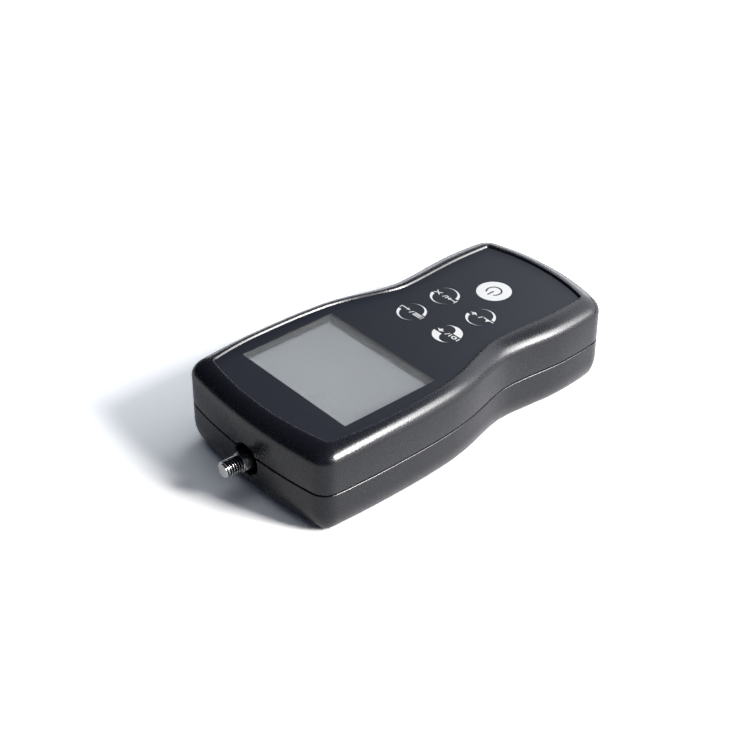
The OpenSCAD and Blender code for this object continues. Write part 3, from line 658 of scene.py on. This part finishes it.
# Rear shell
rearForm = {
    "wall": 2.5, "floor": 2.5, "innerRound": 6.5, "innerStep": 4.5, "roundHeight": 9.8, "roundWidth": 6.0,
    "roundSteps": 16, "groove": 0.9, "grooveEnd": 16.7, "seam": 17.0, "lipLine": 1.35,
    "edge": 0.55, "edgeTurn": (25, 50), "edgeLand": 0.12, "edgeSteps": 5,
    "wellRadius": 3.2, "wellDepth": 4.0, "wellRim": 0.35, "shankRadius": 1.6, "shankTop": 6.0,
    "bushRadius": 4.6, "bushRim": 0.3, "bushTop": 3.0, "beyond": 1.0,
}


def rearRings(form):
    rings = []
    for c, s in quarter(form["roundSteps"]):
        rings.append(caseRing(form["roundWidth"] * (1 - s), form["roundHeight"] * (1 - c)))
    turns = sweep(*form["edgeTurn"], form["edgeSteps"])
    (startC, startS), stopS = turns[0], turns[-1][1]
    rings.append(caseRing(0, form["grooveEnd"] - form["edge"] * (stopS - startS) - form["edgeLand"]))
    for c, s in turns:
        rings.append(caseRing(form["edge"] * (startC - c), form["grooveEnd"] - form["edge"] * (stopS - s)))
    rings += [
        caseRing(form["groove"], form["grooveEnd"]),
        caseRing(form["groove"], form["seam"]),
        caseRing(form["lipLine"], form["seam"]),
        caseRing(form["lipLine"], rearHigh.z),
        caseRing(form["wall"], rearHigh.z),
        caseRing(form["wall"], form["floor"] + form["innerRound"]),
        caseRing(form["wall"] + form["innerStep"], form["floor"]),
    ]
    return rings


def solidCentres(node):  # centre of each quarter of a node of four like solids
    corners = []
    for sx in (-1, 1):
        for sy in (-1, 1):
            points = [v.co for v in nodes[node].data.vertices if v.co.x * sx > 0]
            middle = (max(p.y for p in points) + min(p.y for p in points)) / 2
            points = [p for p in points if (p.y - middle) * sy > 0]
            xs, ys = [p.x for p in points], [p.y for p in points]
            corners.append(Vector(((min(xs) + max(xs)) / 2, (min(ys) + max(ys)) / 2, 0)))
    return corners


def rearCutter(form):
    bm = bmesh.new()
    axisHole(bm, axisForm)
    under = -form["beyond"]
    for centre in solidCentres("housing_screws"):
        r, rim, depth = form["wellRadius"], form["wellRim"], form["wellDepth"]
        shank, top = form["shankRadius"], form["shankTop"]
        profile = [
            (0, under), (r + rim, under), (r + rim, 0), (r, rim), (r, depth),
            (shank, depth), (shank, top), (0, top),
        ]
        turned(bm, profile, Matrix.Translation(centre))
    for centre in solidCentres("mount_bushes"):
        r, rim, top = form["bushRadius"], form["bushRim"], form["bushTop"]
        profile = [(0, under), (r + rim, under), (r + rim, 0), (r, rim), (r, top), (0, top)]
        turned(bm, profile, Matrix.Translation(centre))
    return bm


rear = finishPiece(
    stackRings(rearRings(rearForm)), "rear_case", "shell", "case", "rear_shell", rearCutter(rearForm)
)
print("rear shell:", len(rear.data.polygons), "faces")

# Measuring stud with its thread
studForm = {
    "pitch": 1.0, "root": 2.42, "rootFlat": 0.12, "crestFlat": 0.3, "flankSteps": 4, "turnSteps": 56,
    "tipRound": 0.45, "shank": 2.675, "weld": 0.002,
    "play": 0.3,  # the way left behind the shank
}


def threadedStud(form):
    bm = bmesh.new()
    crest = (stud[1].x - stud[0].x) / 2 / mm
    start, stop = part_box("hex_coupler")[1].y / mm, stud[1].y / mm
    flank = (form["pitch"] - form["rootFlat"] - form["crestFlat"]) / 2
    profile = [(form["root"], 0.0)]
    for i in range(form["flankSteps"] + 1):
        t = i / form["flankSteps"]
        profile.append((form["root"] + (crest - form["root"]) * t, form["rootFlat"] + flank * t))
    for i in range(form["flankSteps"] + 1):
        t = i / form["flankSteps"]
        profile.append((crest - (crest - form["root"]) * t, form["pitch"] - flank * (1 - t)))
    turns = math.ceil((stop - start) / form["pitch"]) + 2
    spine = [bm.verts.new((r * mm, (start - form["pitch"] + h) * mm, 0)) for r, h in profile]
    edges = [bm.edges.new(pair) for pair in zip(spine, spine[1:])]
    bmesh.ops.spin(
        bm, geom=spine + edges, cent=(0, 0, 0), axis=(0, 1, 0), angle=math.tau * turns,
        steps=form["turnSteps"] * turns, dvec=(0, form["pitch"] / form["turnSteps"] * mm, 0), use_merge=False
    )
    bmesh.ops.remove_doubles(bm, verts=bm.verts, dist=form["weld"] * mm)
    for y, side in ((start, -1), (stop, 1)):
        bmesh.ops.bisect_plane(
            bm, geom=bm.verts[:] + bm.edges[:] + bm.faces[:], dist=weld,
            plane_co=(0, y * mm, 0), plane_no=(0, side, 0), clear_outer=True
        )
    for vert in bm.verts:  # the chamfer takes the crests down towards the tip
        radius = math.hypot(vert.co.x, vert.co.z)
        limit = (crest - max(0.0, vert.co.y / mm - stop + form["tipRound"])) * mm
        if radius > limit:
            vert.co.x *= limit / radius
            vert.co.z *= limit / radius
    bmesh.ops.holes_fill(bm, edges=[e for e in bm.edges if e.is_boundary])
    inner = stud[0].y / mm + form["play"]
    length = start - inner
    shank = [(0, 0), (form["shank"], 0), (form["shank"], length), (0, length)]
    back = Matrix.Translation((0, inner * mm, 0)) @ Matrix.Rotation(-math.pi / 2, 4, "X")
    turned(bm, shank, back)
    bmesh.ops.translate(bm, vec=(0, 0, axisZ * mm), verts=bm.verts)
    return bm


threaded = finishPiece(
    threadedStud(studForm), "threaded_stud", "bright_steel", "probe", "measuring_stud", sharpAngle=28
)
print("stud threaded")

# Marks printed on the keys
printForm = {
    "thickness": 0.025, "sunk": 0.01, "radius": 5.45, "band": 1.5, "steps": 48, "sweep": 142, "least": 0.02,
    "slimCentre": (-0.63, 0.49), "slimRadius": 4.63, "fatCentre": (-1.82, 1.42), "fatRadius": 3.12,
    "symbol": 1.8, "stroke": 0.42, "slash": (0.45, 0.9),
}
signForm = {  # mm across the key; heads and the short arrow's height are shares of the sign's height
    "menu": {
        "dots": (-5.7, -5.2), "lines": (-4.8, -1.2), "shaft": (1.9, 5.6), "hook": 5.4, "head": (0.8, 0.9),
    },
    "zero": {"nought": -3.4, "squeeze": 1.3, "steps": 32, "bars": (-5.4, -1.4), "arrow": 3.3},
    "send": {
        "shaft": (-5.6, -2.6), "tip": -2.1, "head": (0.9, 0.8), "bars": (-5.6, -1.1), "cross": (2.0, 4.8),
    },
    "peak": {"feet": ((-5.7, -4.2), (-2.3, -1.0)), "top": -3.25, "wide": 2.2, "arrow": 3.3},
    "arrow": {"wide": 3.4, "high": 0.6, "lift": 0.2},
}
powerForm = {"radius": 2.78, "stroke": 0.62, "gap": 38, "bar": (0.1, 3.35), "steps": 48}


def strip(bm, steps, shape):  # flat strip of quads: shape gives the point at (along, across), both 0 to 1
    made = bmesh.ops.create_grid(bm, x_segments=steps, y_segments=1, size=0.5)["verts"]
    for vert in made:
        vert.co = Vector((*shape(vert.co.x + 0.5, vert.co.y + 0.5), 0))
    return made


def crescent(bm, form, fat, half):
    centre = Vector(form["fatCentre"] if fat else form["slimCentre"])
    inner = form["fatRadius"] if fat else form["slimRadius"]
    outer = form["radius"]

    def shape(along, across):
        angle = math.radians(form["sweep"]) * along
        out = Vector((math.cos(angle), math.sin(angle)))
        reach = centre.dot(out)
        hollow = reach + math.sqrt(reach**2 - centre.length_squared + inner**2)
        hollow = min(hollow, outer - form["least"])
        return out * (hollow + (outer - hollow) * across)

    made = strip(bm, form["steps"], shape)
    edges, faces = {e for v in made for e in v.link_edges}, {f for v in made for f in v.link_faces}
    geom = made + list(edges) + list(faces)
    kept = bmesh.ops.bisect_plane(
        bm, geom=geom, dist=1e-6, plane_co=(0, form["band"], 0), plane_no=(0, -1, 0), clear_outer=True
    )["geom"]
    verts = list({v for f in kept if isinstance(f, bmesh.types.BMFace) for v in f.verts})
    turn = Matrix.Rotation(math.pi * half, 4, "Z")
    bmesh.ops.transform(bm, matrix=turn, verts=verts)


def stroke(bm, start, stop, width):
    a, b = Vector(start), Vector(stop)
    side = (b - a).orthogonal().normalized() * width / 2
    strip(bm, 1, lambda along, across: a + (b - a) * along + side * (2 * across - 1))


def arc(bm, centre, radius, width, start, stop, steps, squeeze=1.0):
    def shape(along, across):
        angle = math.radians(start + (stop - start) * along)
        reach = radius + width * (across - 0.5)
        return Vector(centre) + Vector((math.cos(angle) * reach * squeeze, math.sin(angle) * reach))

    strip(bm, steps, shape)


def triangle(bm, centre, size, turn):  # an arrow head that points up, turned in degrees
    width, height = size
    corners = bmesh.ops.create_circle(bm, cap_ends=True, segments=3, radius=1)["verts"]
    for vert, (x, y) in zip(corners, ((0, 0.5), (-0.5, -0.5), (0.5, -0.5))):
        vert.co = Vector((x * width, y * height, 0))
    place = Matrix.Translation((*centre, 0)) @ Matrix.Rotation(math.radians(turn), 4, "Z")
    bmesh.ops.transform(bm, matrix=place, verts=corners)


def shortArrow(bm, x, tall, line, way):  # way is 1 for up and -1 for down
    head = signForm["arrow"]
    triangle(bm, (x, way * tall * head["lift"]), (head["wide"], tall * head["high"]), 90 - 90 * way)
    low, high = sorted((0, -way * tall / 2))
    stroke(bm, (x, low), (x, high), line * 2)


def menuMarks(bm, sign, tall, line):  # a list of three lines, and a return arrow
    rise = (tall - line) / 2
    for row in (-rise, 0, rise):
        for start, stop in (sign["dots"], sign["lines"]):
            stroke(bm, (start, row), (stop, row), line)
    (tip, end), low = sign["shaft"], -rise / 2
    stroke(bm, (tip, low), (end, low), line)
    stroke(bm, (sign["hook"], low), (sign["hook"], tall / 2), line)
    triangle(bm, (tip, low), [tall * share for share in sign["head"]], 90)


def zeroMarks(bm, sign, tall, line):  # a nought between its bars, and an arrow up
    arc(bm, (sign["nought"], 0), (tall - line) / 2, line, 0, 360, sign["steps"], sign["squeeze"])
    for side in sign["bars"]:
        stroke(bm, (side, -tall / 2), (side, tall / 2), line)
    shortArrow(bm, sign["arrow"], tall, line, 1)


def sendMarks(bm, sign, tall, line):  # an arrow out of a tray, and a cross
    start, stop = sign["shaft"]
    stroke(bm, (start, 0), (stop, 0), line)
    triangle(bm, (sign["tip"], 0), [tall * share for share in sign["head"]], -90)
    for side in sign["bars"]:
        stroke(bm, (side, -tall / 2), (side, tall / 2), line)
    start, stop = sign["cross"]
    for lean in (-1, 1):
        stroke(bm, (start, -lean * tall / 2), (stop, lean * tall / 2), line)


def peakMarks(bm, sign, tall, line):  # a peak on its base line, and an arrow down
    foot = (line - tall) / 2
    for start, stop in sign["feet"]:
        stroke(bm, (start, foot), (stop, foot), line)
    triangle(bm, (sign["top"], 0), (sign["wide"], tall), 0)
    shortArrow(bm, sign["arrow"], tall, line, -1)


def placePrint(bm, name, slot, form):
    bmesh.ops.scale(bm, vec=(mm, mm, mm), verts=bm.verts)
    grown = bmesh.ops.extrude_face_region(bm, geom=bm.faces[:])["geom"]
    lifted = [v for v in grown if isinstance(v, bmesh.types.BMVert)]
    bmesh.ops.translate(bm, vec=(0, 0, form["thickness"] * mm), verts=lifted)
    low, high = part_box(name + "_key")
    centre = (low + high) / 2
    bmesh.ops.translate(bm, vec=(centre.x, centre.y, high.z - form["sunk"] * mm), verts=bm.verts)
    finishPiece(bm, name + "_print", slot, name + "_button")


def keyPrint(name, marks, form):
    bm = bmesh.new()
    for half in (0, 1):
        crescent(bm, form, name == "zero", half)
    tall, line = form["symbol"], form["stroke"]
    marks(bm, signForm[name], tall, line)
    lean, share = form["slash"]
    stroke(bm, (-lean, -tall / 2), (lean, tall / 2), line * share)
    placePrint(bm, name, "key_white", form)


def powerPrint(values, form):
    bm = bmesh.new()
    opening = values["gap"]
    arc(bm, (0, 0), values["radius"], values["stroke"], 90 + opening, 450 - opening, values["steps"])
    stroke(bm, (0, values["bar"][0]), (0, values["bar"][1]), values["stroke"])
    placePrint(bm, "power", "black_plastic", form)


for keyName, keyMarks in zip(keyNames, (menuMarks, zeroMarks, sendMarks, peakMarks)):
    keyPrint(keyName, keyMarks, printForm)
powerPrint(powerForm, printForm)
print("keys printed")

# Floor, lamps and surroundings
stageForm = {
    "radius": 3.0, "segments": 96, "roughness": 0.85, "shine": 0.2, "shade": 0.985,
    "colour": (0.93, 0.935, 0.94), "lift": (0.86, 0.86, 0.865), "mirrored": (0.30, 0.30, 0.305),
    "weave": 0.9,  # mm
    "litTo": 0.055, "shadeFrom": 0.075,  # metres along the gauge, where the shadow of its nose begins
    "whiteFrom": 0.3, "whiteTo": 0.55,  # metres from the object
}
# Lamps: angles in degrees, lengths in metres, power in watts. Those for the gloss are cards that only the
# shells, the stud and the coupler show. The display has its own, so that the window's edges don't shade it
lampForm = {
    "key": {"azimuth": -68, "elevation": 31, "far": 1.8, "size": (0.35, 0.77), "power": 36.0,
            "colour": (1.0, 0.98, 0.955), "lights": "rest"},
    "glow": {"azimuth": -54, "elevation": 32, "far": 1.8, "size": (1.0, 0.9), "power": 36.0,
             "colour": (1.0, 0.99, 0.975), "lights": "gloss"},
    "spark": {"azimuth": -63, "elevation": 33, "far": 1.8, "size": (0.55, 0.75), "power": 24.0,
              "colour": (1.0, 0.99, 0.975), "lights": "gloss"},
    "sill": {"azimuth": -56, "elevation": 9, "far": 1.8, "size": (1.6, 0.6), "power": 6.0,
             "colour": (1.0, 0.99, 0.98), "lights": "gloss"},
    "wall": {"azimuth": -2, "elevation": 30, "far": 1.8, "size": (2.5, 1.45), "power": 25.0,
             "colour": (0.92, 0.96, 1.0), "lights": "rest"},
    "horizon": {"azimuth": 45, "elevation": 6.5, "far": 1.5, "size": (1.3, 0.28), "power": 4.2,
                "colour": (0.94, 0.97, 1.0)},
    "roof": {"azimuth": 180, "elevation": 86, "far": 1.6, "size": (1.2, 1.2), "power": 3.2,
             "colour": (0.91, 0.95, 1.0), "matt": True},
    "cell": {"azimuth": 180, "elevation": 86, "far": 1.8, "size": (0.3, 0.3), "power": 28.0,
             "colour": (0.97, 0.985, 1.0), "matt": True, "lights": "display"},
}
worldForm = {
    "dark": (0.012, 0.016, 0.026), "pale": (0.045, 0.052, 0.075), "azimuth": 240, "from": 0.1, "to": 1.0,
}


def pourFloor(values):
    bm = bmesh.new()
    bmesh.ops.create_circle(bm, cap_ends=True, segments=values["segments"], radius=values["radius"])
    mesh = bpy.data.meshes.new("floor")
    bm.to_mesh(mesh)
    bm.free()
    floor = bpy.data.objects.new("floor", mesh)
    scene.collection.objects.link(floor)
    material, tree, shader, place = newMaterial("floor")
    weave = noise(tree, place, values["weave"])
    low = tuple(c * values["shade"] for c in values["colour"])
    tree.links.new(ramp(tree, weave, low, values["colour"]), shader.inputs["Base Color"])
    shader.inputs["Roughness"].default_value = values["roughness"]
    shader.inputs["Specular IOR Level"].default_value = values["shine"]
    whiten(tree, shader, place, values)
    mesh.materials.append(material)


# The floor looks whiter than it lights the object, and keeps the object's shadow
def whiten(tree, shader, place, values):
    rays = tree.nodes.new("ShaderNodeLightPath").outputs
    surface = shader.outputs["BSDF"]
    for kind, lift in (("Glossy", "mirrored"), ("Transmission", "lift"), ("Camera", "lift")):
        extra = tree.nodes.new("ShaderNodeBsdfDiffuse")
        extra.inputs["Color"].default_value = (*values[lift], 1)
        if kind == "Glossy":
            # Painted light on the floor: in reflections its extra white lies on the lit side and fades out
            # where the nose's shadow falls, a painted shadow
            along = vectorMath(tree, "DOT_PRODUCT", place, (0, 1, 0)).outputs["Value"]
            lit = ramp(tree, along, values[lift], (0, 0, 0), values["litTo"], values["shadeFrom"])
            tree.links.new(lit, extra.inputs["Color"])
        both = tree.nodes.new("ShaderNodeAddShader")
        tree.links.new(shader.outputs["BSDF"], both.inputs[0])
        tree.links.new(extra.outputs["BSDF"], both.inputs[1])
        surface = either(tree, rays["Is " + kind + " Ray"], surface, both.outputs["Shader"])
    away = vectorMath(tree, "LENGTH", place).outputs["Value"]
    seen = tree.nodes.new("ShaderNodeMath")
    seen.operation = "MULTIPLY"
    tree.links.new(spread(tree, away, 0.0, 1.0, values["whiteFrom"], values["whiteTo"]), seen.inputs[0])
    tree.links.new(rays["Is Camera Ray"], seen.inputs[1])
    backdrop = tree.nodes.new("ShaderNodeEmission").outputs["Emission"]
    surface = either(tree, seen.outputs["Value"], surface, backdrop)
    tree.links.new(surface, tree.nodes["Material Output"].inputs["Surface"])


def lampGroup(name, pieces, spared=False):  # the pieces that a lamp lights, or those that it spares
    group = bpy.data.collections.new(name)
    for piece in pieces:
        group.objects.link(piece)
    for member in group.collection_objects:
        member.light_linking.link_state = "EXCLUDE" if spared else "INCLUDE"
    return group


lampGroups = {
    "gloss": lampGroup("shiny_pieces", (front, rear, threaded, nodes["hex_coupler"])),
    "display": lampGroup("display_cell", [nodes["lcd_glass"]]),
    "rest": lampGroup("spared_cell", [nodes["lcd_glass"]], True),
}


def hangLamp(name, values):
    data = bpy.data.lights.new(name, "AREA")
    data.shape = "RECTANGLE"
    data.size, data.size_y = values["size"]
    data.energy = values["power"]
    data.color = values["colour"]
    lamp = bpy.data.objects.new(name, data)
    towards = direction(values["azimuth"], values["elevation"])
    lamp.location = towards * values["far"]
    lamp.rotation_euler = towards.to_track_quat("Z", "Y").to_euler()
    lamp.visible_glossy = not values.get("matt", False)
    lamp.visible_diffuse = values.get("lights") != "gloss"
    if "lights" in values:
        lamp.light_linking.receiver_collection = lampGroups[values["lights"]]
    scene.collection.objects.link(lamp)


def paintWorld(values):  # dim room, paler on the side behind the camera
    world = bpy.data.worlds.new("studio")
    world.use_nodes = True
    tree = world.node_tree
    around = tree.nodes.new("ShaderNodeTexCoord").outputs["Generated"]
    share = vectorMath(tree, "DOT_PRODUCT", around, direction(values["azimuth"], 0)).outputs["Value"]
    colour = ramp(tree, share, values["dark"], values["pale"], values["from"], values["to"])
    room, white = tree.nodes["Background"], tree.nodes.new("ShaderNodeBackground")
    tree.links.new(colour, room.inputs["Color"])
    white.inputs["Color"].default_value = (1, 1, 1, 1)
    seen = tree.nodes.new("ShaderNodeLightPath").outputs["Is Camera Ray"]
    surface = either(tree, seen, room.outputs["Background"], white.outputs["Background"])
    tree.links.new(surface, tree.nodes["World Output"].inputs["Surface"])
    scene.world = world


pourFloor(stageForm)
for lampName, lampValues in lampForm.items():
    hangLamp(lampName, lampValues)
paintWorld(worldForm)
print("stage lit")
